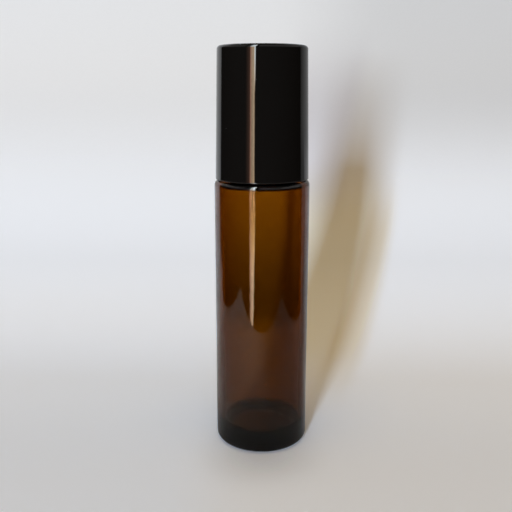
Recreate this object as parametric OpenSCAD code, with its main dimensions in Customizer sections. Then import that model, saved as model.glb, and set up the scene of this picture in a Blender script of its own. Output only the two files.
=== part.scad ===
// Roll-on bottle: amber glass body with a screw neck, a roller ball in a plug, and a tall screw cap.
// Millimetres. The bottle stands on z = 0 and its axis is the Z axis.

/* [Glass body] */
// Outer diameter of the glass body
body_d = 20; // [18:0.5:26]
// Height from the table to the top of the shoulder
body_h = 58.2; // [40:0.1:90]
// Thickness of the side wall
wall = 1.7; // [1.2:0.1:2.4]
// Thickness of the glass above the resting ring
floor_t = 3.2; // [2.4:0.1:5]
// Thickness of the glass at the top of the shoulder
shoulder_t = 1.25; // [0.8:0.05:2.4]
// Outer rounding at the foot of the wall
heel_r = 1.5; // [0.8:0.1:2.2]
// Outer rounding at the top of the wall
shoulder_r = 1.2; // [0.6:0.1:1.8]
// Rounding of the cavity at its floor
cavity_heel_r = 2.4; // [1:0.1:3]
// Rounding of the cavity under the shoulder
cavity_shoulder_r = 0.3; // [0.2:0.1:2.2]
// Width of the flat ring that the glass rests on
rest_w = 1.7; // [0.8:0.1:2.4]
// Height of the hollow pushed up inside that ring
punt_h = 0.9; // [0.4:0.1:1.4]

/* [Screw neck] */
// Height of the neck above the shoulder
neck_h = 13.4; // [11.5:0.1:16]
// Thickness of the neck between its threads
neck_wall = 1.6; // [1.4:0.1:2]
// Rounding of the neck's top edge
rim_r = 0.5; // [0.2:0.1:0.7]
// Fillet where the neck meets the shoulder
neck_fillet_r = 0.7; // [0.3:0.1:0.9]
// Rise of the thread in one turn
thread_pitch = 2.5; // [2.4:0.1:3]
// Height of the glass thread above the neck
thread_depth = 0.9; // [0.7:0.05:1]
// Width of the glass thread at its root
thread_root_w = 1.5; // [1.2:0.05:1.55]
// Width of the glass thread at its crest
thread_crest_w = 0.8; // [0.5:0.05:0.85]
// Turns of the glass thread
thread_turns = 1.75; // [1.25:0.25:2.25]
// Drop from the rim to the middle of the thread's upper end
thread_drop = 1.8; // [1.4:0.1:2.4]

/* [Roller] */
// Distance of the ball's side inside the bore's wall
ball_inset = 0.3; // [0.1:0.05:0.6]
// Running clearance between the ball and its cup
ball_gap = 0.05; // [0.02:0.01:0.1]
// Height of the ball's centre above the glass rim
ball_lift = 2.9; // [2.4:0.1:3.4]
// Height of the cup's lip above the ball's centre
lip_h = 2.2; // [1.6:0.1:2.6]
// Wall of the cup at the ball's widest part
cup_wall = 0.95; // [0.6:0.05:1.1]
// Wall of the cup at its lip
lip_wall = 0.6; // [0.4:0.05:0.9]
// Thickness of the floor under the ball
cup_floor_t = 0.9; // [0.6:0.05:1.4]
// Diameter of the hole that feeds the ball
feed_d = 5.2; // [3:0.1:6]
// Number of grooves that carry liquid up the cup
groove_count = 4; // [2:1:8]
// Width of a groove
groove_w = 1; // [0.6:0.1:1.4]
// Depth of a groove
groove_depth = 0.35; // [0.2:0.05:0.5]
// Distance of the grooves' ends inside the cup's side
groove_inset = 0.75; // [0.5:0.05:1.4]

/* [Plug of the roller housing] */
// Depth of the plug below the glass rim
plug_h = 9; // [6:0.1:11]
// Clearance between the plug and the bore
plug_gap = 0.15; // [0.05:0.05:0.3]
// Wall of the plug
plug_wall = 1.25; // [0.8:0.05:1.5]
// Lead-in chamfer at the plug's lower end
plug_lead = 0.6; // [0.2:0.1:0.7]
// Thickness of the flange that rests on the rim
flange_t = 1; // [0.6:0.1:1.5]
// Distance of the flange's edge inside the neck's edge
flange_inset = 0.2; // [0.1:0.05:0.4]
// Number of sealing ribs
seal_rib_count = 3; // [2:1:3]
// Radius of a sealing rib's round section
seal_rib_r = 0.4; // [0.3:0.05:0.5]
// Squeeze of a sealing rib in the bore
seal_rib_bite = 0.05; // [0.02:0.01:0.08]
// Drop from the rim to the first sealing rib
seal_rib_drop = 1.8; // [1.2:0.1:2.2]
// Distance from rib to rib
seal_rib_step = 2.2; // [1.4:0.1:2.4]

/* [Cap] */
// Gap between the cap's edge and the glass shoulder
cap_gap = 0.1; // [0.05:0.05:0.6]
// Distance of the cap's edge inside the glass body's side
cap_inset = 0.27; // [0:0.01:0.6]
// Wall of the outer shell
cap_wall = 0.93; // [0.7:0.01:1.4]
// Thickness of the shell's top
cap_top_t = 1.2; // [0.8:0.1:2]
// Draft of the shell's side, in degrees
cap_draft = 1.1; // [0:0.1:1.3]
// Rounding of the shell's top edge
cap_top_r = 0.7; // [0.3:0.1:1.1]
// Chamfer of the shell's lower edge
cap_edge = 0.15; // [0.05:0.05:0.3]

/* [Threaded liner] */
// Glue gap between the liner and the shell's bore
liner_gap = 0.03; // [0.02:0.01:0.1]
// Wall of the liner at the cap's edge
liner_wall = 0.77; // [0.7:0.01:1.2]
// Distance of the liner's lower edge above the shell's edge
liner_lift = 0.5; // [0.2:0.1:1]
// Clearance between the glass thread and the liner's bore
thread_gap = 0.2; // [0.1:0.05:0.3]
// Height of the liner's thread above its bore
ridge_depth = 0.7; // [0.5:0.05:0.75]
// Width of the liner's thread at its root
ridge_root_w = 1.25; // [1:0.05:1.3]
// Width of the liner's thread at its crest
ridge_crest_w = 0.7; // [0.4:0.05:0.75]
// Turns of the liner's thread
ridge_turns = 1.5; // [1:0.25:2]
// Distance from the glass rim up to the liner's inner step
step_gap = 0.5; // [0.3:0.1:1]
// Clearance between the liner's upper chamber and the housing's flange
chamber_gap = 0.5; // [0.3:0.1:0.7]
// Wall of the upper chamber
chamber_wall = 0.8; // [0.6:0.05:0.9]
// Thickness of the liner's step and ceiling
ceiling_t = 0.9; // [0.6:0.1:1.4]
// Number of ribs on the liner's top
top_rib_count = 6; // [3:1:12]
// Thickness of a top rib
top_rib_t = 0.8; // [0.5:0.1:1.2]
// Height of the top ribs, which bear on the shell
top_rib_h = 1.65; // [0.8:0.05:8]

/* [Seal disc] */
// Reach of the disc past the ball's side
disc_reach = 0.6; // [-0.6:0.1:0.9]
// Thickness of the disc over the ball
disc_t = 1.6; // [1:0.1:2.5]
// Depth of the dish that the ball sits under
dish_h = 0.5; // [0.2:0.1:1]
// Gap between the ball and the dish
press_gap = 0.2; // [0.1:0.05:0.4]
// Clearance round the disc in its ring
disc_gap = 0.1; // [0.05:0.05:0.2]
// Wall of the ring that holds the disc
ring_wall = 0.6; // [0.4:0.1:0.8]
// Depth of that ring
ring_h = 1.2; // [0.6:0.1:1.6]

/* [Hidden] */

$fn = 96;

// Overrun of every cut past the face that it opens
overrun = 0.6;
// How far a thread's root is sunk in the wall that carries it
thread_sink = 0.3;
// Steps of a thread in one turn
thread_steps = 36;
// Share of a turn in which a thread fades into its wall at each end
fade_share = 0.12;
// Share of a thread's height that is left where it ends, inside the wall
fade_end_share = 0.12;

// Radii and heights that follow from the sizes above
body_r = body_d / 2;
cavity_r = body_r - wall;
punt_r = body_r - heel_r - rest_w;
punt_ball_r = (punt_r * punt_r + punt_h * punt_h) / (2 * punt_h);

cap_r = body_r - cap_inset;
liner_bore_r = cap_r - cap_wall - liner_gap - liner_wall;
thread_r = liner_bore_r - thread_gap;
neck_r = thread_r - thread_depth;
bore_r = neck_r - neck_wall;
rim_z = body_h + neck_h;
thread_z = rim_z - thread_drop - thread_turns * thread_pitch;

ball_r = bore_r - ball_inset;
ball_z = rim_z + ball_lift;
ball_top_z = ball_z + ball_r;
cup_r = ball_r + ball_gap;
cup_floor_z = ball_z - cup_r - cup_floor_t;
lip_z = ball_z + lip_h;
lip_r = sqrt(cup_r * cup_r - lip_h * lip_h);
plug_r = bore_r - plug_gap;
plug_z = rim_z - plug_h;
flange_r = neck_r - flange_inset;

cap_z = body_h + cap_gap;
liner_z = cap_z + liner_lift;
ridge_z = thread_z - thread_pitch / 2;
step_z = rim_z + step_gap;
chamber_r = flange_r + chamber_gap;
disc_r = ball_r + disc_reach;
ceiling_z = ball_top_z + press_gap + disc_t;
liner_top_z = ceiling_z + ceiling_t;
cap_ceiling_z = liner_top_z + top_rib_h;
cap_top_z = cap_ceiling_z + cap_top_t;

// Outer and inner radius of the drafted shell at a height, and the liner's radius inside it
function shell_r(z) = cap_r - (z - cap_z) * tan(cap_draft);
function shell_bore_r(z) = shell_r(z) - cap_wall;
function liner_r(z) = shell_bore_r(z) - liner_gap;

// Half outline of an upright block whose outer corners are rounded
module rounded_half(r, h, foot_r, top_r) {
    square([r - foot_r, foot_r]);
    translate([0, foot_r]) square([r, h - foot_r - top_r]);
    translate([0, h - top_r]) square([r - top_r, top_r]);
    translate([r - foot_r, foot_r]) circle(foot_r);
    translate([r - top_r, h - top_r]) circle(top_r);
}

// Section of a thread at one step: two points on the sunk root and two on the crest
function thread_section(angle, z, root_r, crest_r, root_w, crest_w) = [
    for (p = [[root_r, -root_w], [crest_r, -crest_w], [crest_r, crest_w], [root_r, root_w]])
        [p[0] * cos(angle), p[0] * sin(angle), z + p[1] / 2]
];

// A thread that winds right-handed up the axis and fades into its wall at both ends.
// wall_r is the radius of the wall, and way is 1 for a thread outside it and -1 for one inside it.
module thread(wall_r, way, depth, root_w, crest_w, turns, z) {
    steps = round(turns * thread_steps);
    fade_steps = fade_share * thread_steps;
    root_r = wall_r - way * thread_sink;
    sunk_root_w = root_w + (root_w - crest_w) * thread_sink / depth;
    points = [
        for (i = [0 : steps])
            let (
                fade = min(1, i / fade_steps, (steps - i) / fade_steps),
                height = (thread_sink + depth) * (fade_end_share + (1 - fade_end_share) * fade)
            )
            each thread_section(
                i * 360 / thread_steps,
                z + i * thread_pitch / thread_steps,
                root_r,
                root_r + way * height,
                sunk_root_w,
                crest_w
            )
    ];
    sides = [
        for (i = [0 : steps - 1], k = [0 : 3])
            let (a = 4 * i + k, b = 4 * i + (k + 1) % 4, c = b + 4, d = a + 4)
            each [[a, b, c], [a, c, d]]
    ];
    last = 4 * steps;
    ends = [[0, 3, 2], [0, 2, 1], [last, last + 1, last + 2], [last, last + 2, last + 3]];
    faces = [for (f = concat(sides, ends)) way > 0 ? f : [f[2], f[1], f[0]]];
    polyhedron(points, faces);
}

// The hollow under the base, as a half outline
module punt_half() {
    intersection() {
        translate([0, -overrun]) square([punt_r + overrun, overrun + punt_h]);
        translate([0, punt_h - punt_ball_r]) circle(punt_ball_r);
    }
}

// The glass: body, shoulder, neck and thread are one moulding
module glass_bottle() {
    color([0.36, 0.17, 0.03])
    union() {
        rotate_extrude() difference() {
            union() {
                rounded_half(body_r, body_h, heel_r, shoulder_r);
                square([neck_r, rim_z - rim_r]);
                translate([0, rim_z - rim_r]) square([neck_r - rim_r, rim_r]);
                translate([neck_r - rim_r, rim_z - rim_r]) circle(rim_r);
                translate([neck_r, body_h]) difference() {
                    square(neck_fillet_r);
                    translate([neck_fillet_r, neck_fillet_r]) circle(neck_fillet_r);
                }
            }
            translate([0, floor_t])
                rounded_half(cavity_r, body_h - floor_t - shoulder_t, cavity_heel_r, cavity_shoulder_r);
            translate([0, body_h - shoulder_t - overrun])
                square([bore_r, neck_h + shoulder_t + 2 * overrun]);
            punt_half();
        }
        thread(neck_r, 1, thread_depth, thread_root_w, thread_crest_w, thread_turns, thread_z);
    }
}

// The housing: a ribbed plug, a flange on the rim and the cup that the ball snaps into
module roller_housing() {
    color("ivory")
    difference() {
        rotate_extrude() difference() {
            union() {
                polygon([
                    [0, plug_z],
                    [plug_r - plug_lead, plug_z],
                    [plug_r, plug_z + plug_lead],
                    [plug_r, rim_z],
                    [0, rim_z]
                ]);
                translate([0, rim_z]) square([flange_r, flange_t]);
                polygon([
                    [0, rim_z],
                    [cup_r + cup_wall, rim_z],
                    [cup_r + cup_wall, ball_z],
                    [lip_r + lip_wall, lip_z],
                    [0, lip_z]
                ]);
                for (i = [0 : seal_rib_count - 1])
                    translate([bore_r + seal_rib_bite - seal_rib_r, rim_z - seal_rib_drop - i * seal_rib_step])
                        circle(seal_rib_r);
            }
            intersection() {
                translate([0, ball_z]) circle(cup_r);
                translate([0, cup_floor_z]) square([cup_r + overrun, lip_z - cup_floor_z + overrun]);
            }
            translate([0, plug_z - overrun])
                square([plug_r - plug_wall, cup_floor_z - plug_z + overrun]);
            translate([0, cup_floor_z - overrun]) square([feed_d / 2, ball_z - cup_floor_z + overrun]);
        }
        feed_grooves();
    }
}

// Shallow grooves in the cup that spread liquid round the ball
module feed_grooves() {
    translate([0, 0, ball_z]) intersection() {
        sphere(cup_r + groove_depth);
        for (i = [0 : groove_count - 1])
            rotate(i * 360 / groove_count)
                translate([0, -groove_w / 2, -cup_r - groove_depth])
                    cube([cup_r - groove_inset, groove_w, cup_r + groove_depth]);
    }
}

module roller_ball() {
    color("silver")
    translate([0, 0, ball_z]) sphere(ball_r);
}

// The soft disc over the ball, dished where the ball presses
module seal_disc() {
    color("white")
    rotate_extrude() difference() {
        translate([0, ball_top_z + press_gap - dish_h]) square([disc_r, dish_h + disc_t]);
        intersection() {
            translate([0, ball_z]) circle(ball_r + press_gap);
            translate([0, ball_z]) square([disc_r, ball_r + press_gap]);
        }
    }
}

// The liner: a threaded sleeve, a chamber over the roller, the disc's ring and ribs under the shell's top
module cap_liner() {
    color([0.12, 0.12, 0.12])
    union() {
        rotate_extrude() difference() {
            union() {
                polygon([
                    [0, liner_z],
                    [liner_r(liner_z), liner_z],
                    [liner_r(step_z + ceiling_t), step_z + ceiling_t],
                    [0, step_z + ceiling_t]
                ]);
                translate([0, step_z]) square([chamber_r + chamber_wall, liner_top_z - step_z]);
            }
            translate([0, liner_z - overrun]) square([liner_bore_r, step_z - liner_z + overrun]);
            difference() {
                translate([0, step_z - overrun]) square([chamber_r, ceiling_z - step_z + overrun]);
                translate([disc_r + disc_gap, ceiling_z - ring_h]) square([ring_wall, ring_h + overrun]);
            }
        }
        thread(liner_bore_r, -1, ridge_depth, ridge_root_w, ridge_crest_w, ridge_turns, ridge_z);
        for (i = [0 : top_rib_count - 1])
            rotate(i * 360 / top_rib_count)
                translate([0, -top_rib_t / 2, liner_top_z - ceiling_t / 2])
                    cube([chamber_r + chamber_wall, top_rib_t, top_rib_h + ceiling_t / 2]);
    }
}

// The outer shell: a drafted tube closed at the top, with a rounded top edge
module cap_shell() {
    corner_z = cap_top_z - cap_top_r;
    corner_r = shell_r(corner_z) - cap_top_r / cos(cap_draft);
    color([0.05, 0.05, 0.05])
    rotate_extrude() difference() {
        union() {
            polygon([
                [0, cap_z],
                [cap_r - cap_edge, cap_z],
                [shell_r(cap_z + cap_edge), cap_z + cap_edge],
                [corner_r + cap_top_r * cos(cap_draft), corner_z + cap_top_r * sin(cap_draft)],
                [corner_r, corner_z],
                [corner_r, cap_top_z],
                [0, cap_top_z]
            ]);
            translate([corner_r, corner_z]) circle(cap_top_r);
        }
        polygon([
            [0, cap_z - overrun],
            [shell_bore_r(cap_z - overrun), cap_z - overrun],
            [shell_bore_r(cap_ceiling_z), cap_ceiling_z],
            [0, cap_ceiling_z]
        ]);
    }
}

glass_bottle();
roller_housing();
roller_ball();
seal_disc();
cap_liner();
cap_shell();
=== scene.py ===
import math

import bmesh
import bpy
from mathutils import Euler, Matrix


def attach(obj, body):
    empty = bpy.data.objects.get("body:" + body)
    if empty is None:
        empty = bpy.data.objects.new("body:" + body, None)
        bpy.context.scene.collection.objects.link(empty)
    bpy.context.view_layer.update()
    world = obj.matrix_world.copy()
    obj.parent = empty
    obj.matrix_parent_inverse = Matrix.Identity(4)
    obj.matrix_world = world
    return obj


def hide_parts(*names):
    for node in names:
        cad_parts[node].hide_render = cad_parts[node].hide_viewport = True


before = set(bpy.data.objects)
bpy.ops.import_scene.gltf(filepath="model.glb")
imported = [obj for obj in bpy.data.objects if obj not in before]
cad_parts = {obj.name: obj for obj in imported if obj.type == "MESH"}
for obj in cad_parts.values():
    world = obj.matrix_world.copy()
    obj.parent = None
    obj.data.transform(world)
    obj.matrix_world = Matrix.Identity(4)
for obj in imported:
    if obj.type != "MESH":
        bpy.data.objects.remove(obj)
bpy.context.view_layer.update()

# Camera
# A small camera close to the bottle, a little above the cap's middle and looking down at it.
# Its place, tilt and lens come from a fit of the turned outline to the photograph's edges.
camera_place = (0, -0.1488, 0.0769)
camera_tilt_down = 13.38
camera_pan_left = 0.479
camera_roll = 0.056
camera_lens = 49.9

camera_data = bpy.data.cameras.new("camera")
camera_data.lens = camera_lens
camera_data.sensor_width = 36
camera_data.clip_start = 0.002
camera = bpy.data.objects.new("camera", camera_data)
camera.location = camera_place
aimed = Euler((math.radians(90 - camera_tilt_down), 0, math.radians(camera_pan_left))).to_matrix()
camera.rotation_euler = (aimed @ Matrix.Rotation(math.radians(camera_roll), 3, "Z")).to_euler()
bpy.context.scene.collection.objects.link(camera)
bpy.context.scene.camera = camera

# Glass bottle
# One moulding of amber glass: thick floor with a hollow under it, round wall, shoulder and a neck
# with a screw thread. The mould gives the smooth outside, and blown air the uneven inside.
body_r = 10
body_h = 58.2
wall = 1.7
floor_t = 3.2
shoulder_t = 1.25
heel_r = 1.5
shoulder_r = 1.2
cavity_r = body_r - wall
cavity_heel_r = 2.4
cavity_shoulder_r = 0.3
cavity_top_z = body_h - shoulder_t
punt_r = 6.8
punt_h = 0.9
foot_edge_r = 0.35
foot_r = punt_r + foot_edge_r * 0.6
neck_r = 6.9
neck_fillet_r = 0.7
bore_r = 5.3
throat_r = 0.4
rim_z = 71.6
rim_r = 0.5
rim_inner_r = 0.3
thread_pitch = 2.5
thread_depth = 0.9
thread_root_w = 1.5
thread_crest_w = 0.8
thread_turns = 1.75
thread_fade_turns = 0.1
thread_z = 65.425
wave_height = 0.24
wave_cells_per_m = (170, 170, 45)
wave_start_z = 4.5
wave_full_z = 9
wave_ease_z = 50
wave_end_z = 56.3
on_wall_reach = 0.02
weld_distance = 0.0004
amber_density = 2100
amber_color = (0.757, 0.588, 0.02, 1)
glass_ior = 1.52


def straight(start, end, step, hold=0.08):
    """Points from start to end, with one close to each end to keep the shading of the flat."""
    length = math.dist(start, end)
    inner = max(1, round((length - 2 * hold) / step)) if length > 3 * hold else 0
    shares = [0, 1]
    if inner:
        shares[1:1] = [(hold + (length - 2 * hold) * i / inner) / length for i in range(inner + 1)]
    return [tuple(a + (b - a) * s for a, b in zip(start, end)) for s in shares]


def rounding(centre, radius, first, last, count=8):
    """Points on an arc of the outline, with its angles in degrees."""
    turns = [math.radians(first + (last - first) * i / count) for i in range(count + 1)]
    return [(centre[0] + radius * math.cos(t), centre[1] + radius * math.sin(t)) for t in turns]


def clean(points):
    """The points without a repeat of the one before."""
    kept = [points[0]]
    for point in points[1:]:
        if math.dist(point, kept[-1]) > 1e-5:
            kept.append(point)
    return kept


def add(tree, kind, inputs=None, **settings):
    """A node with its settings, and a value or another node's output on each named input."""
    node = tree.nodes.new(kind)
    for name, value in settings.items():
        setattr(node, name, value)
    for key, value in (inputs or {}).items():
        if isinstance(value, bpy.types.NodeSocket):
            tree.links.new(value, node.inputs[key])
        else:
            node.inputs[key].default_value = value
    return node


def calc(tree, operation, *values):
    return add(tree, "ShaderNodeMath", dict(enumerate(values)), operation=operation).outputs[0]


def product(tree, first, *factors):
    """All its values multiplied."""
    for factor in factors:
        first = calc(tree, "MULTIPLY", first, factor)
    return first


def ramp(tree, value, low, high, to_low=0.0, to_high=1.0, smooth=True):
    """A value that goes from to_low to to_high as its input goes from low to high."""
    node = add(
        tree,
        "ShaderNodeMapRange",
        {"Value": value, "From Min": low, "From Max": high, "To Min": to_low, "To Max": to_high},
        interpolation_type="SMOOTHSTEP" if smooth else "LINEAR",
    )
    return node.outputs["Result"]


def noise_at(tree, place, scale, detail=2.0, rough=0.5, stretch=(1, 1, 1)):
    """Noise on the piece's own coordinates, with its scale in cells per metre."""
    cells = [scale * s for s in stretch]
    sized = add(tree, "ShaderNodeVectorMath", {0: place, 1: cells}, operation="MULTIPLY").outputs[0]
    inputs = {"Vector": sized, "Scale": 1, "Detail": detail, "Roughness": rough}
    return add(tree, "ShaderNodeTexNoise", inputs).outputs[0]


def turning_tree():
    """Geometry Nodes tree that turns an outline round the Z axis and winds a thread on its wall."""
    tree = bpy.data.node_groups.new("turned_form", "GeometryNodeTree")
    tree.interface.new_socket("Geometry", in_out="OUTPUT", socket_type="NodeSocketGeometry")
    tree.interface.new_socket("Outline", in_out="INPUT", socket_type="NodeSocketGeometry")
    tree.interface.new_socket("Steps", in_out="INPUT", socket_type="NodeSocketInt")
    for name in (
        "Wall radius",
        "Thread side",
        "Thread depth",
        "Root width",
        "Crest width",
        "Pitch",
        "Turns",
        "Start height",
        "Fade turns",
        "Ripple height",
        "Ripple radius",
    ):
        tree.interface.new_socket(name, in_out="INPUT", socket_type="NodeSocketFloat")
    tree.interface.new_socket("Material", in_out="INPUT", socket_type="NodeSocketMaterial")
    given = add(tree, "NodeGroupInput").outputs

    counted = add(tree, "GeometryNodeAttributeDomainSize", {0: given["Outline"]}, component="MESH")
    columns = calc(tree, "ADD", given["Steps"], 1)
    counts = {"Vertices X": counted.outputs["Point Count"], "Vertices Y": columns}
    grid = add(tree, "GeometryNodeMeshGrid", {"Size X": 1, "Size Y": 1, **counts})
    index = add(tree, "GeometryNodeInputIndex").outputs[0]
    row = calc(tree, "FLOOR", calc(tree, "DIVIDE", calc(tree, "ADD", index, 0.5), columns))
    column = calc(tree, "FLOORED_MODULO", index, columns)
    place = add(tree, "GeometryNodeInputPosition").outputs[0]
    sample = add(tree, "GeometryNodeSampleIndex", data_type="FLOAT_VECTOR", domain="POINT")
    tree.links.new(given["Outline"], sample.inputs["Geometry"])
    tree.links.new(place, sample.inputs["Value"])
    tree.links.new(row, sample.inputs["Index"])
    profile = add(tree, "ShaderNodeSeparateXYZ", {0: sample.outputs["Value"]}).outputs
    angle = product(tree, calc(tree, "DIVIDE", column, given["Steps"]), math.tau)
    turned_place = add(
        tree,
        "ShaderNodeCombineXYZ",
        {
            0: product(tree, profile[0], calc(tree, "COSINE", angle)),
            1: product(tree, profile[0], calc(tree, "SINE", angle)),
            2: profile[2],
        },
    ).outputs[0]
    placed = {"Geometry": grid.outputs["Mesh"], "Position": turned_place}
    shell = add(tree, "GeometryNodeSetPosition", placed)
    weld = {"Geometry": shell.outputs[0], "Distance": weld_distance / 1000}
    closed = add(tree, "GeometryNodeMergeByDistance", weld)

    xyz = add(tree, "ShaderNodeSeparateXYZ", {0: place}).outputs
    squares = calc(tree, "ADD", product(tree, xyz[0], xyz[0]), product(tree, xyz[1], xyz[1]))
    radius = calc(tree, "SQRT", squares)
    heading = calc(tree, "DIVIDE", calc(tree, "ARCTAN2", xyz[1], xyz[0]), math.tau)
    turn = calc(tree, "FLOORED_MODULO", heading, 1)
    pitches = calc(tree, "DIVIDE", calc(tree, "SUBTRACT", xyz[2], given["Start height"]), given["Pitch"])
    climb = calc(tree, "SUBTRACT", pitches, turn)
    nearest = calc(tree, "ROUND", climb)
    along = calc(tree, "ADD", nearest, turn)
    off = product(tree, calc(tree, "ABSOLUTE", calc(tree, "SUBTRACT", climb, nearest)), given["Pitch"])
    half_root = product(tree, given["Root width"], 0.5)
    half_crest = product(tree, given["Crest width"], 0.5)
    flank = ramp(tree, off, half_root, half_crest)
    ends = calc(tree, "MINIMUM", along, calc(tree, "SUBTRACT", given["Turns"], along))
    fade = ramp(tree, ends, 0, given["Fade turns"])
    from_wall = calc(tree, "ABSOLUTE", calc(tree, "SUBTRACT", radius, given["Wall radius"]))
    on_wall = calc(tree, "LESS_THAN", from_wall, on_wall_reach / 1000)
    height = product(tree, flank, fade, given["Thread depth"], given["Thread side"], on_wall)

    waves = calc(tree, "SUBTRACT", noise_at(tree, place, 1, 1.5, 0.45, wave_cells_per_m), 0.5)
    inside = calc(tree, "LESS_THAN", radius, given["Ripple radius"])
    from_floor = ramp(tree, xyz[2], wave_start_z / 1000, wave_full_z / 1000)
    from_top = ramp(tree, xyz[2], wave_end_z / 1000, wave_ease_z / 1000)
    band = product(tree, from_floor, from_top)
    ripple = product(tree, waves, given["Ripple height"], inside, band)

    outward = add(tree, "ShaderNodeVectorMath", {0: place, 1: (1, 1, 0)}, operation="MULTIPLY").outputs[0]
    outward = add(tree, "ShaderNodeVectorMath", {0: outward}, operation="NORMALIZE").outputs[0]
    raised = calc(tree, "ADD", height, ripple)
    push = add(tree, "ShaderNodeVectorMath", {0: outward, "Scale": raised}, operation="SCALE").outputs[0]
    threaded = add(tree, "GeometryNodeSetPosition", {"Geometry": closed.outputs[0], "Offset": push})
    smooth = add(tree, "GeometryNodeSetShadeSmooth", {"Geometry": threaded.outputs[0]})
    finish_tree(tree, smooth.outputs[0], given["Material"])
    return tree


def finish_tree(tree, geometry, material):
    """The end of each Geometry Nodes tree here: real geometry with its material."""
    real = add(tree, "GeometryNodeRealizeInstances", {"Geometry": geometry})
    finish = add(tree, "GeometryNodeSetMaterial", {"Geometry": real.outputs[0], "Material": material})
    add(tree, "NodeGroupOutput", {0: finish.outputs[0]})


def apply_tree(piece, tree, values):
    """Runs a tree on a piece with the named inputs, and leaves its result as the piece's plain mesh."""
    modifier = piece.modifiers.new(tree.name, "NODES")
    modifier.node_group = tree
    for socket in tree.interface.items_tree:
        if socket.in_out == "INPUT" and socket.name in values:
            modifier[socket.identifier] = values[socket.name]
    bpy.context.view_layer.update()
    result = bpy.data.meshes.new_from_object(piece.evaluated_get(bpy.context.evaluated_depsgraph_get()))
    piece.modifiers.remove(modifier)
    piece.data = result
    shape = bmesh.new()
    shape.from_mesh(result)
    bmesh.ops.recalc_face_normals(shape, faces=shape.faces)
    shape.to_mesh(result)
    shape.free()
    return piece


def turned(name, points, material, steps=192, **thread):
    """A closed piece turned from its outline in millimetres, with the sizes of its thread, if any."""
    points = clean(points)
    mesh = bpy.data.meshes.new(name)
    corners = [(r / 1000, 0, z / 1000) for r, z in points]
    mesh.from_pydata(corners, [(i, i + 1) for i in range(len(points) - 1)], [])
    piece = bpy.data.objects.new(name, mesh)
    bpy.context.scene.collection.objects.link(piece)
    no_thread = {"Pitch": 1.0, "Root width": 1.0, "Turns": 1.0, "Fade turns": 1.0}
    return apply_tree(piece, turned_form, {"Steps": steps, "Material": material, **no_thread, **thread})


def new_material(name):
    """A material with a Principled shader, and the place on the piece that its patterns read."""
    material = bpy.data.materials.new(name)
    material.use_nodes = True
    tree = material.node_tree
    shader = tree.nodes["Principled BSDF"]
    return material, tree, shader, add(tree, "ShaderNodeTexCoord").outputs["Object"]


def bumped(tree, shader, height, distance):
    bump = add(tree, "ShaderNodeBump", {"Height": height, "Distance": distance, "Strength": 1.0})
    tree.links.new(bump.outputs[0], shader.inputs["Normal"])


turned_form = turning_tree()

amber_glass, tree, shader, place = new_material("amber_glass")
shader.inputs["Base Color"].default_value = (1, 1, 1, 1)
shader.inputs["Transmission Weight"].default_value = 1
shader.inputs["IOR"].default_value = glass_ior
haze = noise_at(tree, place, 900, 3, 0.6, (1, 1, 0.3))
tree.links.new(ramp(tree, haze, 0.55, 0.8, 0.0, 0.06), shader.inputs["Roughness"])
flow = noise_at(tree, place, 260, 2, 0.5, (1, 1, 0.35))
bumped(tree, shader, flow, 0.00002)
absorption = add(tree, "ShaderNodeVolumeAbsorption", {"Color": amber_color, "Density": amber_density})
tree.links.new(absorption.outputs[0], tree.nodes["Material Output"].inputs["Volume"])

punt_ball_r = (punt_r**2 + punt_h**2) / (2 * punt_h)
punt_turn = math.degrees(math.asin(punt_r / punt_ball_r))
glass_outline = [
    *rounding((0, punt_h - punt_ball_r), punt_ball_r, 90, 90 - punt_turn, 16)[:-1],
    *rounding((foot_r, foot_edge_r), foot_edge_r, 200, 270, 5),
    *straight((foot_r, 0), (body_r - heel_r, 0), 0.8),
    *rounding((body_r - heel_r, heel_r), heel_r, -90, 0, 16),
    *straight((body_r, heel_r), (body_r, body_h - shoulder_r), 1.6),
    *rounding((body_r - shoulder_r, body_h - shoulder_r), shoulder_r, 0, 90, 16),
    *straight((body_r - shoulder_r, body_h), (neck_r + neck_fillet_r, body_h), 0.6),
    *rounding((neck_r + neck_fillet_r, body_h + neck_fillet_r), neck_fillet_r, 270, 180, 8),
    *straight((neck_r, body_h + neck_fillet_r), (neck_r, rim_z - rim_r), 0.14),
    *rounding((neck_r - rim_r, rim_z - rim_r), rim_r, 0, 90, 8),
    *straight((neck_r - rim_r, rim_z), (bore_r + rim_inner_r, rim_z), 0.4),
    *rounding((bore_r + rim_inner_r, rim_z - rim_inner_r), rim_inner_r, 90, 180, 6),
    *straight((bore_r, rim_z - rim_inner_r), (bore_r, cavity_top_z + throat_r), 1.2),
    *rounding((bore_r + throat_r, cavity_top_z + throat_r), throat_r, 180, 270, 8),
    *rounding(
        (cavity_r - cavity_shoulder_r, cavity_top_z - cavity_shoulder_r), cavity_shoulder_r, 90, 0, 14
    ),
    *straight((cavity_r, cavity_top_z - cavity_shoulder_r), (cavity_r, floor_t + cavity_heel_r), 1.2),
    *rounding((cavity_r - cavity_heel_r, floor_t + cavity_heel_r), cavity_heel_r, 0, -90, 14),
    *straight((cavity_r - cavity_heel_r, floor_t), (0, floor_t), 0.8),
]
glass_bottle = turned(
    "amber_bottle",
    glass_outline,
    amber_glass,
    steps=216,
    **{
        "Wall radius": neck_r / 1000,
        "Thread side": 1.0,
        "Thread depth": thread_depth / 1000,
        "Root width": thread_root_w / 1000,
        "Crest width": thread_crest_w / 1000,
        "Pitch": thread_pitch / 1000,
        "Turns": thread_turns,
        "Start height": thread_z / 1000,
        "Fade turns": thread_fade_turns,
        "Ripple height": wave_height / 1000,
        "Ripple radius": (body_r - wall / 2) / 1000,
    },
)
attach(glass_bottle, "bottle")
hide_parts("glass_bottle")

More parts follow.
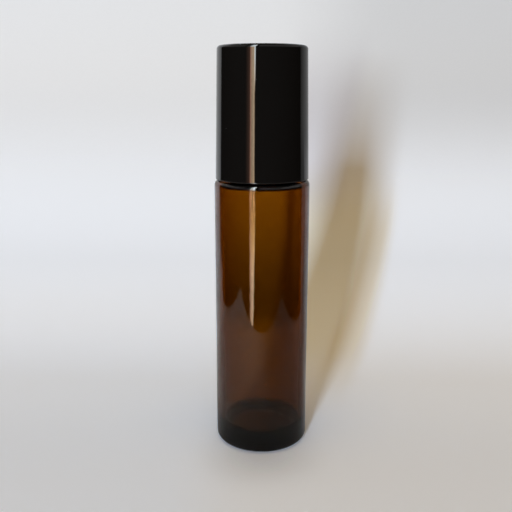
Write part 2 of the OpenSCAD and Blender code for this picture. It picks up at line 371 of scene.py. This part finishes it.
# Roller housing
# A soft milky polyethylene moulding that is pushed into the neck: sealing ribs grip the bore, a flange
# rests on the rim, and the cup above it snaps round the ball. A hole under the ball feeds it.
ball_r = 5
ball_z = 74.5
cup_r = 5.05
cup_wall = 0.95
cup_side_r = cup_r + cup_wall
cup_floor_t = 0.9
cup_floor_z = ball_z - cup_r - cup_floor_t
cup_fillet_r = 0.2
cup_taper = 0.05
cup_taper_h = 0.15
feed_r = 2.6
lip_z = 76.7
lip_r = math.sqrt(cup_r**2 - (lip_z - ball_z) ** 2)
lip_wall = 0.6
lip_round = 0.18
lip_inset = 0.02
lip_inset_turn = 1.5
flange_r = 6.7
flange_t = 1
flange_top_z = rim_z + flange_t
flange_edge_r = 0.25
flange_under_r = 0.1
plug_r = 5.15
plug_wall = 1.25
plug_z = 62.6
plug_lead = 0.6
plug_lead_h = 0.7
plug_step = 0.05
seal_rib_r = 0.4
seal_rib_reach = 5.35
seal_rib_first = 1.8
seal_rib_step = 2.2
seal_rib_count = 3


def tinted(tree, share, low, high, **settings):
    """A colour that goes from low to high as its share goes from 0 to 1."""
    return add(tree, "ShaderNodeMix", {0: share, 6: low, 7: high}, data_type="RGBA", **settings).outputs[2]


milky_plastic, tree, shader, place = new_material("milky_polyethylene")
tone = noise_at(tree, place, 300, 2, 0.5)
color = tinted(tree, tone, (0.83, 0.835, 0.81, 1), (0.89, 0.89, 0.87, 1))
tree.links.new(color, shader.inputs["Base Color"])
satin = noise_at(tree, place, 2600, 2, 0.6)
tree.links.new(ramp(tree, satin, 0.3, 0.7, 0.28, 0.42), shader.inputs["Roughness"])
shader.inputs["IOR"].default_value = 1.51
shader.inputs["Subsurface Weight"].default_value = 0.35
shader.inputs["Subsurface Radius"].default_value = (1.0, 0.95, 0.85)
shader.inputs["Subsurface Scale"].default_value = 0.0008
bumped(tree, shader, noise_at(tree, place, 5200, 2, 0.6), 0.000006)

rib_half = math.sqrt(seal_rib_r**2 - (plug_r - seal_rib_reach + seal_rib_r) ** 2)
rib_turn = math.degrees(math.asin(rib_half / seal_rib_r))
plug_side = [(plug_r, rim_z)]
for i in range(seal_rib_count):
    rib_z = rim_z - seal_rib_first - i * seal_rib_step
    plug_side += rounding((seal_rib_reach - seal_rib_r, rib_z), seal_rib_r, rib_turn, -rib_turn, 8)
cup_low = math.degrees(math.asin(feed_r / cup_r)) - 90
cup_high = math.degrees(math.asin((lip_z - ball_z) / cup_r))
housing_outline = [
    *rounding((0, ball_z), cup_r, cup_low, cup_high - lip_inset_turn, 26),
    *rounding((lip_r + lip_round + lip_inset, lip_z - lip_round), lip_round, 170, 90, 5),
    *straight((lip_r + lip_round, lip_z), (lip_r + lip_wall - lip_round, lip_z), 0.3, 0.02),
    *rounding((lip_r + lip_wall - lip_round, lip_z - lip_round), lip_round, 90, 30, 5),
    *straight(
        (cup_side_r - cup_taper, ball_z + cup_taper_h), (cup_side_r, ball_z - cup_taper_h), 0.2, 0.02
    ),
    *straight((cup_side_r, ball_z - cup_taper_h), (cup_side_r, flange_top_z + cup_fillet_r), 0.5),
    *rounding((cup_side_r + cup_fillet_r, flange_top_z + cup_fillet_r), cup_fillet_r, 180, 270, 5),
    *straight(
        (cup_side_r + cup_fillet_r, flange_top_z), (flange_r - flange_edge_r, flange_top_z), 0.3, 0.03
    ),
    *rounding((flange_r - flange_edge_r, flange_top_z - flange_edge_r), flange_edge_r, 90, 0, 6),
    *rounding((flange_r - flange_under_r, rim_z + flange_under_r), flange_under_r, 0, -90, 3),
    *straight((flange_r - flange_under_r, rim_z), (plug_r + plug_step, rim_z), 0.5, 0.03),
    *plug_side,
    *straight((plug_r, plug_z + plug_lead_h), (plug_r - plug_lead, plug_z), 0.3, 0.04),
    *straight((plug_r - plug_lead, plug_z), (plug_r - plug_wall, plug_z), 0.3, 0.04),
    *straight((plug_r - plug_wall, plug_z), (plug_r - plug_wall, cup_floor_z), 0.8, 0.05),
    *straight((plug_r - plug_wall, cup_floor_z), (feed_r, cup_floor_z), 0.5, 0.05),
    *straight((feed_r, cup_floor_z), rounding((0, ball_z), cup_r, cup_low, cup_low, 1)[0], 0.3, 0.04),
]
roller_housing = turned("roller_housing_plug", housing_outline, milky_plastic, steps=144)
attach(roller_housing, "bottle")
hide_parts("roller_housing")

# Roller ball
# A ground and polished stainless steel ball, 10 mm across, snapped past the cup's lip by hand or by a
# press. It turns freely and carries the liquid up from the bottle.
polished_steel, tree, shader, place = new_material("polished_steel")
shader.inputs["Metallic"].default_value = 1
shader.inputs["Base Color"].default_value = (0.74, 0.735, 0.725, 1)
lap_marks = noise_at(tree, place, 5000, 3, 0.6, (1, 1, 0.12))
film = noise_at(tree, place, 420, 3, 0.6)
tree.links.new(
    calc(tree, "ADD", ramp(tree, lap_marks, 0.5, 0.8, 0.02, 0.07), ramp(tree, film, 0.5, 0.8, 0.0, 0.08)),
    shader.inputs["Roughness"],
)
bumped(tree, shader, lap_marks, 0.0000004)
roller_ball = turned("steel_ball", rounding((0, ball_z), ball_r, -90, 90, 96), polished_steel, steps=160)
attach(roller_ball, "ball")
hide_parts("roller_ball")

# Seal disc
# A punched disc of soft white foam in the ring of the cap's liner. The ball has pressed a shallow
# dish in its lower face, which closes the roller when the cap is screwed down.
disc_r = 5.6
disc_low = 79.2
disc_high = 81.3
disc_edge_r = 0.2
dish_r = 5.2
dish_lip = 0.05
dish_edge = math.degrees(math.asin((disc_low - ball_z) / dish_r))
dish_mouth_r = dish_r * math.cos(math.radians(dish_edge))

seal_foam, tree, shader, place = new_material("closed_cell_foam")
cells = add(
    tree,
    "ShaderNodeTexVoronoi",
    {"Vector": place, "Scale": 3600.0, "Randomness": 1.0},
    feature="SMOOTH_F1",
).outputs["Distance"]
tone = noise_at(tree, place, 500, 2, 0.5)
color = tinted(tree, tone, (0.86, 0.855, 0.83, 1), (0.92, 0.92, 0.905, 1))
tree.links.new(color, shader.inputs["Base Color"])
tree.links.new(ramp(tree, cells, 0.1, 0.6, 0.92, 0.7), shader.inputs["Roughness"])
shader.inputs["Subsurface Weight"].default_value = 0.25
shader.inputs["Subsurface Radius"].default_value = (1.0, 0.97, 0.92)
shader.inputs["Subsurface Scale"].default_value = 0.0006
bumped(tree, shader, cells, 0.00006)
disc_outline = [
    *rounding((0, ball_z), dish_r, 90, dish_edge, 14),
    *straight((dish_mouth_r + dish_lip, disc_low), (disc_r - disc_edge_r, disc_low), 0.5, 0.05),
    *rounding((disc_r - disc_edge_r, disc_low + disc_edge_r), disc_edge_r, -90, 0, 5),
    *straight((disc_r, disc_low + disc_edge_r), (disc_r, disc_high - disc_edge_r), 0.4, 0.05),
    *rounding((disc_r - disc_edge_r, disc_high - disc_edge_r), disc_edge_r, 0, 90, 5),
    *straight((disc_r - disc_edge_r, disc_high), (0, disc_high), 0.8, 0.05),
]
seal_disc = turned("foam_seal_disc", disc_outline, seal_foam, steps=120)
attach(seal_disc, "seal")
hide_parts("seal_disc")

# Cap liner
# The working part of the cap, in satin black polypropylene, glued in the shell: a sleeve with the
# inner thread, a chamber over the roller with the disc's ring, and ribs on top that bear on the shell.
liner_bore_r = 8.0
liner_z = 58.8
liner_low_r = 8.76
liner_step_r = 8.49
liner_edge_r = 0.15
liner_top_z = 82.2
step_z = 72.1
ceiling_t = 0.9
step_top_z = step_z + ceiling_t
chamber_r = 7.2
chamber_wall = 0.8
chamber_side_r = chamber_r + chamber_wall
chamber_ceiling_z = 81.3
ring_r = 5.7
ring_wall = 0.6
ring_side_r = ring_r + ring_wall
ring_low = 80.1
ridge_z = 64.175
ridge_depth = 0.7
ridge_root_w = 1.25
ridge_crest_w = 0.7
ridge_turns = 1.5
ridge_fade_turns = 0.1
top_rib_count = 6
top_rib_t = 0.8
top_rib_h = 1.65
top_rib_foot = ceiling_t / 2


def ribs_tree():
    """Geometry Nodes tree that sets ribs round the Z axis, like spokes."""
    tree = bpy.data.node_groups.new("spoke_ribs", "GeometryNodeTree")
    tree.interface.new_socket("Geometry", in_out="OUTPUT", socket_type="NodeSocketGeometry")
    tree.interface.new_socket("Turned part", in_out="INPUT", socket_type="NodeSocketGeometry")
    tree.interface.new_socket("Count", in_out="INPUT", socket_type="NodeSocketInt")
    for name in ("Length", "Thickness", "Height", "Foot height"):
        tree.interface.new_socket(name, in_out="INPUT", socket_type="NodeSocketFloat")
    tree.interface.new_socket("Material", in_out="INPUT", socket_type="NodeSocketMaterial")
    given = add(tree, "NodeGroupInput").outputs
    sides = {0: given["Length"], 1: given["Thickness"], 2: given["Height"]}
    size = add(tree, "ShaderNodeCombineXYZ", sides).outputs[0]
    cuts = {"Size": size, "Vertices X": 6, "Vertices Y": 2, "Vertices Z": 3}
    block = add(tree, "GeometryNodeMeshCube", cuts)
    middle_x = product(tree, given["Length"], 0.5)
    middle_z = calc(tree, "ADD", given["Foot height"], product(tree, given["Height"], 0.5))
    move = add(tree, "ShaderNodeCombineXYZ", {0: middle_x, 2: middle_z}).outputs[0]
    rib = add(tree, "GeometryNodeTransform", {"Geometry": block.outputs["Mesh"], "Translation": move})
    on_axis = {"Count": given["Count"], "Position": (0, 0, 0), "Radius": 0.0001}
    seats = add(tree, "GeometryNodePoints", on_axis)
    index = add(tree, "GeometryNodeInputIndex").outputs[0]
    spoke_turn = calc(tree, "DIVIDE", product(tree, index, math.tau), given["Count"])
    heading = add(tree, "ShaderNodeCombineXYZ", {2: spoke_turn})
    turn = add(tree, "FunctionNodeEulerToRotation", {0: heading.outputs[0]})
    spokes = add(
        tree,
        "GeometryNodeInstanceOnPoints",
        {"Points": seats.outputs[0], "Instance": rib.outputs[0], "Rotation": turn.outputs[0]},
    )
    both = add(tree, "GeometryNodeJoinGeometry")
    tree.links.new(spokes.outputs[0], both.inputs[0])
    tree.links.new(given["Turned part"], both.inputs[0])
    finish_tree(tree, both.outputs[0], given["Material"])
    return tree


satin_black, tree, shader, place = new_material("satin_black_polypropylene")
tone = noise_at(tree, place, 350, 2, 0.5)
color = tinted(tree, tone, (0.018, 0.018, 0.019, 1), (0.03, 0.03, 0.031, 1))
tree.links.new(color, shader.inputs["Base Color"])
satin = noise_at(tree, place, 2500, 2, 0.6)
tree.links.new(ramp(tree, satin, 0.3, 0.7, 0.3, 0.46), shader.inputs["Roughness"])
shader.inputs["IOR"].default_value = 1.49
bumped(tree, shader, noise_at(tree, place, 7000, 2, 0.6), 0.000006)
liner_outline = [
    *straight((0, liner_top_z), (chamber_side_r - liner_edge_r, liner_top_z), 1.0, 0.05),
    *rounding((chamber_side_r - liner_edge_r, liner_top_z - liner_edge_r), liner_edge_r, 90, 0, 4),
    *straight((chamber_side_r, liner_top_z - liner_edge_r), (chamber_side_r, step_top_z), 1.5, 0.05),
    *straight((chamber_side_r, step_top_z), (liner_step_r - liner_edge_r, step_top_z), 0.4, 0.04),
    *rounding((liner_step_r - liner_edge_r, step_top_z - liner_edge_r), liner_edge_r, 90, 0, 4),
    *straight((liner_step_r, step_top_z - liner_edge_r), (liner_low_r, liner_z + liner_edge_r), 1.5, 0.05),
    *rounding((liner_low_r - liner_edge_r, liner_z + liner_edge_r), liner_edge_r, 0, -90, 4),
    *rounding((liner_bore_r + liner_edge_r, liner_z + liner_edge_r), liner_edge_r, 270, 180, 4),
    *straight((liner_bore_r, liner_z + liner_edge_r), (liner_bore_r, step_z), 0.12),
    *straight((liner_bore_r, step_z), (chamber_r, step_z), 0.4, 0.04),
    *straight((chamber_r, step_z), (chamber_r, chamber_ceiling_z), 1.2, 0.05),
    *straight((chamber_r, chamber_ceiling_z), (ring_side_r, chamber_ceiling_z), 0.5, 0.04),
    *straight((ring_side_r, chamber_ceiling_z), (ring_side_r, ring_low), 0.4, 0.04),
    *straight((ring_side_r, ring_low), (ring_r, ring_low), 0.3, 0.04),
    *straight((ring_r, ring_low), (ring_r, chamber_ceiling_z), 0.4, 0.04),
    *straight((ring_r, chamber_ceiling_z), (0, chamber_ceiling_z), 0.8, 0.05),
]
cap_liner = turned(
    "threaded_liner",
    liner_outline,
    satin_black,
    steps=192,
    **{
        "Wall radius": liner_bore_r / 1000,
        "Thread side": -1.0,
        "Thread depth": ridge_depth / 1000,
        "Root width": ridge_root_w / 1000,
        "Crest width": ridge_crest_w / 1000,
        "Pitch": thread_pitch / 1000,
        "Turns": ridge_turns,
        "Start height": ridge_z / 1000,
        "Fade turns": ridge_fade_turns,
    },
)
apply_tree(
    cap_liner,
    ribs_tree(),
    {
        "Count": top_rib_count,
        "Length": chamber_side_r / 1000,
        "Thickness": top_rib_t / 1000,
        "Height": (top_rib_h + top_rib_foot) / 1000,
        "Foot height": (liner_top_z - top_rib_foot) / 1000,
        "Material": satin_black,
    },
)
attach(cap_liner, "cap")
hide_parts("cap_liner")

# Cap shell
# The outside of the cap: a tall moulded tube of glossy black plastic, one degree of draft on its
# side and a small round on its top edge. It is pushed over the liner and turns with it.
cap_r = 9.73
cap_z = 58.3
cap_wall = 0.93
cap_top_z = 85.05
cap_ceiling_z = 83.85
cap_top_r = 0.7
cap_edge = 0.15
cap_bore_edge = 0.08
cap_bore_lead = 0.1
cap_bore_z = cap_z + cap_bore_lead
draft = math.radians(1.1)


def shell_r(z):
    return cap_r - (z - cap_z) * math.tan(draft)


gloss_black, tree, shader, place = new_material("gloss_black_plastic")
shader.inputs["IOR"].default_value = 1.5
specks = add(tree, "ShaderNodeTexVoronoi", {"Vector": place, "Scale": 420.0, "Randomness": 1.0}).outputs
speck_draw = add(tree, "ShaderNodeSeparateXYZ", {0: specks["Color"]}).outputs[0]
sparse = calc(tree, "GREATER_THAN", speck_draw, 0.86)
lint = product(tree, sparse, ramp(tree, specks["Distance"], 0.03, 0.05, 1.0, 0.0))
color = tinted(tree, lint, (0.0064, 0.0052, 0.0043, 1), (0.25, 0.24, 0.22, 1))
tree.links.new(color, shader.inputs["Base Color"])
rub = noise_at(tree, place, 1500, 4, 0.65, (1, 1, 0.12))
dust = noise_at(tree, place, 4200, 3, 0.6)
tree.links.new(
    calc(tree, "ADD", ramp(tree, rub, 0.5, 0.85, 0.02, 0.1), ramp(tree, dust, 0.66, 0.8, 0.0, 0.25)),
    shader.inputs["Roughness"],
)
swell = noise_at(tree, place, 320, 2, 0.5, (1, 1, 0.3))
bumped(tree, shader, swell, 0.00001)
corner_z = cap_top_z - cap_top_r
corner_r = shell_r(corner_z) - cap_top_r / math.cos(draft)
bore_low_r = shell_r(cap_bore_z) - cap_wall
bore_high_r = shell_r(cap_ceiling_z) - cap_wall
shell_outline = [
    *straight((0, cap_top_z), (corner_r, cap_top_z), 1.0),
    *rounding((corner_r, corner_z), cap_top_r, 90, 1, 12),
    *straight((shell_r(corner_z), corner_z), (shell_r(cap_z + cap_edge), cap_z + cap_edge), 1.4),
    *rounding((cap_r - cap_edge, cap_z + cap_edge), cap_edge, 0, -90, 6),
    *straight((cap_r - cap_edge, cap_z), (cap_r - cap_wall + cap_bore_edge, cap_z), 0.3, 0.03),
    *rounding((cap_r - cap_wall + cap_bore_edge, cap_z + cap_bore_edge), cap_bore_edge, 270, 180, 4),
    *straight((bore_low_r, cap_bore_z), (bore_high_r, cap_ceiling_z), 1.4, 0.05),
    *straight((bore_high_r, cap_ceiling_z), (0, cap_ceiling_z), 1.0, 0.05),
]
cap_shell = turned("gloss_cap_shell", shell_outline, gloss_black, steps=216)
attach(cap_shell, "cap")
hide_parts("cap_shell")

# Floor and backdrop
# One pale sweep of paper: flat under the bottle and bent up into a wall behind it. Its mirror image in
# the glass and the cap ends where a small sheet's edges would be, with a dark room beyond them.
sweep_front = -1.2
sweep_wall_y = 0.2
sweep_bend_r = 0.17
sweep_top = 1.0
sweep_half_w = 1.2
# Paper tints above white, cooler on the floor and warmer up the wall: painted light
floor_tone_and_light = (1.3, 1.36, 1.45, 1)
wall_tone_and_light = (1.39, 1.36, 1.32, 1)
bounce_color = (0.2, 0.2, 0.2, 1)
far_color = (0.72, 0.72, 0.72, 1)
far_fade = (0.3, 0.55)
# Centre of the painted contact shade round the bottle's foot
contact_shade_centre = (0, -0.01, 0)
shadow_lean = 0.285
shadow_wall_lean = 0.28
# Tints of the painted shadow edges and of the painted cooler light on the left
painted_shadow_tan_edge_color = (0.84, 0.75, 0.6, 1)
painted_shadow_tan_core_color = (0.98, 0.94, 0.8, 1)
painted_shadow_gray_edge_color = (0.82, 0.8, 0.82, 1)
painted_cool_light_left_color = (1.01, 1.05, 1.11, 1)
sheet_left = -0.108
sheet_left_lean = -1.43
sheet_right = 0.095
sheet_right_lean = 2.94
sheet_front = -0.087
# Lean and strength of the painted light on what gloss mirrors just past the bottle's right
right_side_lean = 0.75
painted_lift_gain = 1.2


def blended(tree, share, low, high):
    """A value that goes from low to high as its share goes from 0 to 1."""
    return add(tree, "ShaderNodeMix", {0: share, 2: low, 3: high}).outputs[0]


def zone(tree, value, start, full, full_end, end):
    """One from full to full_end, and nought before start and past end."""
    return product(tree, ramp(tree, value, start, full), ramp(tree, value, full_end, end, 1.0, 0.0))


def ray_kinds(tree):
    """What a ray is, then one where the camera sees straight or through glass, and one in a mirror."""
    path = add(tree, "ShaderNodeLightPath").outputs
    seen = calc(tree, "MAXIMUM", path["Is Camera Ray"], path["Is Transmission Ray"])
    mirrored = product(tree, path["Is Glossy Ray"], calc(tree, "SUBTRACT", 1, path["Is Transmission Ray"]))
    return path, seen, mirrored


paper, tree, shader, place = new_material("pale_paper")
tree.nodes.remove(shader)
path, seen, mirrored = ray_kinds(tree)
x, y, z = add(tree, "ShaderNodeSeparateXYZ", {0: place}).outputs
from_axis = add(tree, "ShaderNodeVectorMath", {0: place}, operation="LENGTH").outputs["Value"]
to_contact_shade = {0: place, 1: contact_shade_centre}
from_contact_shade = add(tree, "ShaderNodeVectorMath", to_contact_shade, operation="DISTANCE").outputs["Value"]

# The paper's tone with painted light in it: above white, cooler on the floor and warmer up the wall
color = tinted(tree, ramp(tree, z, 0.0, 0.09), floor_tone_and_light, wall_tone_and_light)
# Painted shade darkens it up the bend, towards the front, at the top right and round the bottle's foot
painted_corner_shade = product(tree, ramp(tree, x, 0.0, 0.06, 0.0, 0.16), ramp(tree, z, 0.03, 0.08))
shade = product(
    tree,
    ramp(tree, z, 0.0, 0.016, 1.0, 0.825, smooth=False),
    ramp(tree, z, 0.016, 0.075, 1.0, 0.78),
    ramp(tree, y, -0.02, 0.03, 0.9, 1.0),
    ramp(tree, noise_at(tree, place, 1200, 3, 0.6), 0, 1, 0.985, 1.015),
    ramp(tree, from_contact_shade, 0.0, 0.017, 0.72, 1.0),
    calc(tree, "SUBTRACT", 1, painted_corner_shade),
)

# Painted shade on what gloss mirrors: dimmer on the right and beside the bottle, with painted light just
# past its right
dim_right = blended(tree, ramp(tree, x, -0.03, 0.03), 0.95, ramp(tree, z, 0.03, 0.07, 0.3, 0.62))
dim_right = product(tree, dim_right, ramp(tree, x, 0.2, 0.7, 1.0, 0.35))
beside_bottle = ramp(tree, x, -0.03, -0.012, 0.8, 0.43)
mirror_shade = blended(tree, ramp(tree, y, -0.05, -0.02), dim_right, beside_bottle)
mirror_shade = blended(tree, ramp(tree, y, 0.02, 0.05), mirror_shade, dim_right)
past_right = calc(tree, "SUBTRACT", y, product(tree, x, right_side_lean))
painted_lift_right = product(
    tree,
    ramp(tree, past_right, -0.015, 0.01),
    ramp(tree, x, 0.0, 0.02),
    ramp(tree, z, 0.03, 0.06, 1.0, 0.0),
)
mirror_shade = product(tree, mirror_shade, calc(tree, "MULTIPLY_ADD", painted_lift_right, painted_lift_gain, 1))

# Painted shade on what shows through the glass: dark close to it, lightest low on the bend and dimmer
# above that
painted_shade_behind = calc(
    tree,
    "MAXIMUM",
    ramp(tree, z, 0.008, 0.038, 0.3, 1.22, smooth=False),
    ramp(tree, y, 0.058, 0.075, 0.62, 0.3),
)
painted_shade_high_up = ramp(tree, x, -0.012, 0.004, 0.82, 0.42)
painted_shade_behind = product(
    tree,
    painted_shade_behind,
    ramp(tree, y, 0.004, 0.02, 0.5, 1.0),
    ramp(tree, from_axis, 0.011, 0.02),
    blended(tree, ramp(tree, z, 0.038, 0.05), 1.0, painted_shade_high_up),
)
aside = calc(tree, "ABSOLUTE", x)
near = product(tree, ramp(tree, y, -0.05, -0.03), ramp(tree, aside, 0.05, 0.1, 1.0, 0.0))
through_glass = product(tree, path["Is Transmission Ray"], near)
for kind, kind_shade in ((mirrored, mirror_shade), (through_glass, painted_shade_behind)):
    shade = product(tree, shade, blended(tree, kind, 1.0, kind_shade))

# For the camera alone, painted shadow widens the edges of the bottle's soft shadow, and painted cool light
# makes the left a little cooler
beside = calc(tree, "SUBTRACT", x, product(tree, y, shadow_lean))
up_right = calc(tree, "SUBTRACT", x, product(tree, z, shadow_wall_lean))
painted_shadow_tan_edge = product(
    tree,
    zone(tree, beside, 0.0035, 0.0085, 0.0125, 0.019),
    ramp(tree, y, 0.005, 0.06),
    ramp(tree, z, 0.02, 0.045, 1.0, 0.0),
)
painted_shadow_tan_core = product(
    tree,
    ramp(tree, x, 0.005, 0.012),
    ramp(tree, beside, 0.0035, 0.0125, 1.0, 0.0),
    ramp(tree, y, 0.02, 0.06),
    ramp(tree, z, 0.025, 0.05, 1.0, 0.0),
)
painted_shadow_gray_edge = product(
    tree,
    ramp(tree, x, 0.012, 0.02),
    ramp(tree, up_right, 0.016, 0.026, 1.0, 0.0),
    zone(tree, z, 0.02, 0.04, 0.06, 0.11),
)
painted_cool_light_left = product(tree, ramp(tree, x, -0.02, 0.0, 1.0, 0.0), ramp(tree, y, 0.03, 0.08, 1.0, 0.0))
for edge, edge_color in (
    (painted_shadow_tan_edge, painted_shadow_tan_edge_color),
    (painted_shadow_tan_core, painted_shadow_tan_core_color),
    (painted_shadow_gray_edge, painted_shadow_gray_edge_color),
    (painted_cool_light_left, painted_cool_light_left_color),
):
    edge = product(tree, edge, path["Is Camera Ray"])
    tone = tinted(tree, edge, (1, 1, 1, 1), edge_color)
    color = tinted(tree, 1.0, color, tone, blend_type="MULTIPLY")
color = add(tree, "ShaderNodeVectorMath", {0: color, "Scale": shade}, operation="SCALE").outputs[0]

# Far from the bottle the paper is an even grey, and past the small sheet gloss sees the room instead
direct = calc(tree, "MAXIMUM", seen, path["Is Glossy Ray"])
matt = add(tree, "ShaderNodeBsdfDiffuse", {"Color": tinted(tree, direct, bounce_color, color)}).outputs[0]
plain = add(tree, "ShaderNodeEmission", {"Color": far_color}).outputs[0]
faded = product(tree, seen, ramp(tree, from_axis, *far_fade))
matt = add(tree, "ShaderNodeMixShader", {0: faded, 1: matt, 2: plain}).outputs[0]
left_limit = calc(tree, "MINIMUM", product(tree, y, sheet_left_lean), sheet_left)
left_fade = calc(tree, "SUBTRACT", left_limit, ramp(tree, y, 0.03, 0.06, 0.002, 0.065))
right_limit = calc(tree, "MAXIMUM", product(tree, y, sheet_right_lean), sheet_right)
on_sheet = product(
    tree,
    ramp(tree, x, left_fade, left_limit),
    calc(tree, "LESS_THAN", x, right_limit),
    calc(tree, "GREATER_THAN", y, sheet_front),
)
beyond = product(tree, mirrored, calc(tree, "SUBTRACT", 1, on_sheet))
clear = add(tree, "ShaderNodeBsdfTransparent").outputs[0]
mixed = add(tree, "ShaderNodeMixShader", {0: beyond, 1: matt, 2: clear})
tree.links.new(mixed.outputs[0], tree.nodes["Material Output"].inputs["Surface"])

bend = rounding((sweep_wall_y - sweep_bend_r, sweep_bend_r), sweep_bend_r, -90, 0, 18)
sweep_line = [(sweep_front, 0), *bend, (sweep_wall_y, sweep_top)]
corners = [(x, y, z) for y, z in sweep_line for x in (-sweep_half_w, sweep_half_w)]
faces = [(2 * i, 2 * i + 1, 2 * i + 3, 2 * i + 2) for i in range(len(sweep_line) - 1)]
sweep_mesh = bpy.data.meshes.new("paper_sweep")
sweep_mesh.from_pydata(corners, [], faces)
sweep_mesh.materials.append(paper)
sweep_mesh.shade_smooth()
sweep = bpy.data.objects.new("paper_sweep", sweep_mesh)
bpy.context.scene.collection.objects.link(sweep)

# Light
# A cool window low in front on the left, a warm ceiling and a warm dim room all round. A tall tan strip
# and the pale upper part of the room show in gloss alone.
lamp_aim_z = 0.03


def area_light(name, turn, rise, far, width, height, power, color):
    """A soft light seen from the bottle at a heading left of the front and at a height, in degrees."""
    data = bpy.data.lights.new(name, "AREA")
    data.shape = "RECTANGLE"
    data.size = width
    data.size_y = height
    data.energy = power
    data.color = color
    lamp = bpy.data.objects.new(name, data)
    turn, rise = math.radians(turn), math.radians(rise)
    lamp.location = (
        -far * math.cos(rise) * math.sin(turn),
        -far * math.cos(rise) * math.cos(turn),
        lamp_aim_z + far * math.sin(rise),
    )
    lamp.rotation_euler = (math.pi / 2 - rise, 0, -turn)
    lamp.visible_glossy = False
    bpy.context.scene.collection.objects.link(lamp)


cool_day = (0.7, 0.833, 1.0)
warm_lamp = (1.0, 0.82, 0.52)
area_light("window", turn=14.8, rise=9, far=1.5, width=0.15, height=0.5, power=22.4, color=cool_day)
area_light("ceiling", turn=20, rise=82, far=0.7, width=0.3, height=0.3, power=0.64, color=warm_lamp)

strip_turn = math.radians(20.5)
strip_far = 0.9
strip_left = -0.4
strip_right = 0.2
strip_low = -0.32
strip_high = 1.6
gold = (1.0, 0.62, 0.24, 1)
light_tan = (1.0, 0.73, 0.48, 1)
rose = (1.0, 0.5, 0.34, 1)
cool_white = (0.9, 0.97, 1.0, 1)


def apart(tree, value, level):
    return calc(tree, "ABSOLUTE", calc(tree, "SUBTRACT", value, level))


strip_glow, tree, shader, place = new_material("reflected_strip")
tree.nodes.remove(shader)
across, _, height = add(tree, "ShaderNodeSeparateXYZ", {0: place}).outputs
uneven = calc(tree, "ADD", 0.025, ramp(tree, apart(tree, height, -0.09), 0.0, 0.03, 0.1, 0.0))
folds = calc(tree, "SUBTRACT", noise_at(tree, place, 26, 3, 0.5), 0.5)
across = calc(tree, "ADD", across, product(tree, uneven, folds))
on_cap = zone(tree, height, -0.06, -0.02, 0.09, 0.14)
right = calc(tree, "SUBTRACT", across, ramp(tree, height, -0.28, -0.12, 0.0, 0.066, smooth=False))
right = calc(tree, "ADD", right, product(tree, on_cap, 0.026))
body = product(
    tree,
    ramp(tree, across, -0.16, -0.12),
    ramp(tree, right, -0.015, 0.015, 1.0, 0.0),
    ramp(tree, height, -0.31, -0.26),
)
crease = zone(tree, right, -0.07, -0.045, -0.045, -0.02)
fringe = product(
    tree,
    ramp(tree, across, -0.36, -0.1, 0.0, 0.9),
    ramp(tree, across, -0.12, -0.08, 1.0, 0.0),
    ramp(tree, height, -0.1, 0.0),
)
veins = ramp(tree, noise_at(tree, place, 24, 1, 0.5, (1, 1, 5)), 0.45, 0.56, -0.45, 0.85)
veins = product(tree, veins, ramp(tree, apart(tree, height, -0.08), 0.02, 0.06, 1.0, 0.1))
pale = product(tree, ramp(tree, height, 0.1, 0.16), ramp(tree, right, -0.06, -0.03))
pale = calc(tree, "MAXIMUM", pale, ramp(tree, height, 0.2, 0.3))
warm = tinted(tree, ramp(tree, apart(tree, height, -0.11), 0.0, 0.12), gold, light_tan)
warm = tinted(tree, ramp(tree, across, -0.13, -0.06), rose, warm)
accents = calc(tree, "ADD", calc(tree, "ADD", 1, product(tree, crease, 0.45)), product(tree, pale, 0.7))
level = product(
    tree,
    ramp(tree, across, -0.13, -0.04, 5.5, 7.5),
    ramp(tree, apart(tree, height, -0.18), 0.0, 0.06, 1.2, 0.95),
    body,
    calc(tree, "SUBTRACT", 1, product(tree, on_cap, 0.15)),
    accents,
    ramp(tree, height, 0.8, 1.1, 1.0, 1.35),
    calc(tree, "SUBTRACT", 1, veins),
)
look = {"Color": tinted(tree, pale, warm, cool_white), "Strength": calc(tree, "ADD", level, fringe)}
glow = add(tree, "ShaderNodeEmission", look)
tree.links.new(glow.outputs[0], tree.nodes["Material Output"].inputs["Surface"])

strip_mesh = bpy.data.meshes.new("reflected_strip")
corners = [(x, 0, z) for z in (strip_low, strip_high) for x in (strip_left, strip_right)]
strip_mesh.from_pydata(corners, [], [(0, 1, 3, 2)])
strip_mesh.materials.append(strip_glow)
strip = bpy.data.objects.new("reflected_strip", strip_mesh)
strip.location = (-strip_far * math.sin(strip_turn), -strip_far * math.cos(strip_turn), 0)
strip.rotation_euler = (0, 0, -strip_turn)
bpy.context.scene.collection.objects.link(strip)
for kind in ("camera", "diffuse", "transmission", "shadow"):
    setattr(strip, "visible_" + kind, False)

room_light = (0.274, 0.192, 0.111, 1)
dark_room = (0.006, 0.0055, 0.005, 1)
pale_room = (0.62, 0.58, 0.56, 1)

world = bpy.data.worlds.new("room")
world.use_nodes = True
bpy.context.scene.world = world
tree = world.node_tree
path, seen, mirrored = ray_kinds(tree)
direction = add(tree, "ShaderNodeTexCoord").outputs["Generated"]
upward = add(tree, "ShaderNodeSeparateXYZ", {0: direction}).outputs[2]
above = product(tree, ramp(tree, upward, 0.2, 0.45), ramp(tree, upward, 0.62, 0.74, 1.0, 0.08))
plain_room = tinted(tree, seen, room_light, far_color)
shown = tinted(tree, mirrored, plain_room, tinted(tree, above, dark_room, pale_room))
tree.links.new(shown, tree.nodes["Background"].inputs["Color"])

bpy.context.scene.view_settings.view_transform = "Standard"
